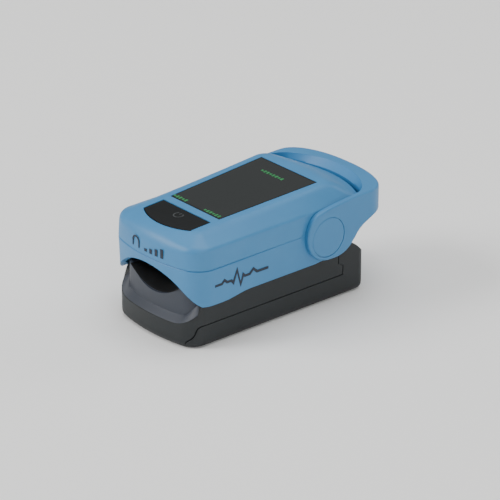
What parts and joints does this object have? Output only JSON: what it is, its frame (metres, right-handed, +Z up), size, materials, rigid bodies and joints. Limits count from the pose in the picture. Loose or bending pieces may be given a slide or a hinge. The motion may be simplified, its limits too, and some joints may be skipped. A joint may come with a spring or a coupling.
{
  "type": "fingertip pulse oximeter",
  "caption": "Spring-closed fingertip clip with a sloped display face, power button, rear grip and sliding battery door.",
  "frame": {"origin": "on the surface it stands on, under the centre of its bounding box", "axes": "+Y from the finger opening to the rear grip, +X to the wearer's side that is on the right seen from the front, +Z up"},
  "size_m": [0.0318, 0.06, 0.0283],
  "materials": {
    "blue_plastic": "satin",
    "black_plastic": "satin",
    "grey_plastic": "matte",
    "button_black": "satin",
    "soft_rubber": "matte",
    "tinted_window": "gloss",
    "dark_lens": "gloss",
    "chip_black": "matte",
    "board_green": "gloss",
    "flex_amber": "gloss",
    "cell_metal": "satin",
    "plated_steel": "plated",
    "screw_steel": "bright"
  },
  "bodies": {
    "base": {"lower_housing": "black_plastic", "finger_bed": "grey_plastic", "lower_finger_pad": "soft_rubber", "detector_window": "tinted_window", "photodiode": "chip_black", "sensor_board": "board_green", "battery_cell_left": "cell_metal", "battery_cell_right": "cell_metal", "front_contacts": "plated_steel", "bed_screws": "screw_steel", "torsion_springs": "screw_steel"},
    "door": {"battery_door": "black_plastic", "bridge_contact": "plated_steel"},
    "jaw": {"mid_cover": "blue_plastic", "top_cover": "blue_plastic", "press_bail": "blue_plastic", "pivot_caps": "blue_plastic", "hinge_pins": "screw_steel", "display_window": "dark_lens", "display_module": "dark_lens", "main_board": "board_green", "processor_chip": "chip_black", "tact_switch": "chip_black", "upper_finger_pad": "soft_rubber", "emitter_window": "tinted_window", "light_emitter": "chip_black", "emitter_board": "board_green", "flex_cable": "flex_amber", "cover_screws": "screw_steel"},
    "button": {"power_button": "button_black", "switch_plunger": "button_black"}
  },
  "joints": [
    {"name": "jaw_hinge", "type": "hinge", "parent": "base", "child": "jaw", "pos_m": [0, 0.0095, 0.0174], "axis": [-1, 0, 0], "range_deg": [0, 24], "stiffness_Nm_per_rad": 0.12, "springref_deg": -28.65, "deforming": ["torsion_springs", "flex_cable"]},
    {"name": "door_slide", "type": "slide", "parent": "base", "child": "door", "axis": [0, 1, 0], "range_m": [0, 0.052]},
    {"name": "button_press", "type": "slide", "parent": "jaw", "child": "button", "axis": [0, 0, -1], "range_m": [0, 0.0004], "stiffness_N_per_m": 1500, "springref_m": -0.0003}
  ]
}
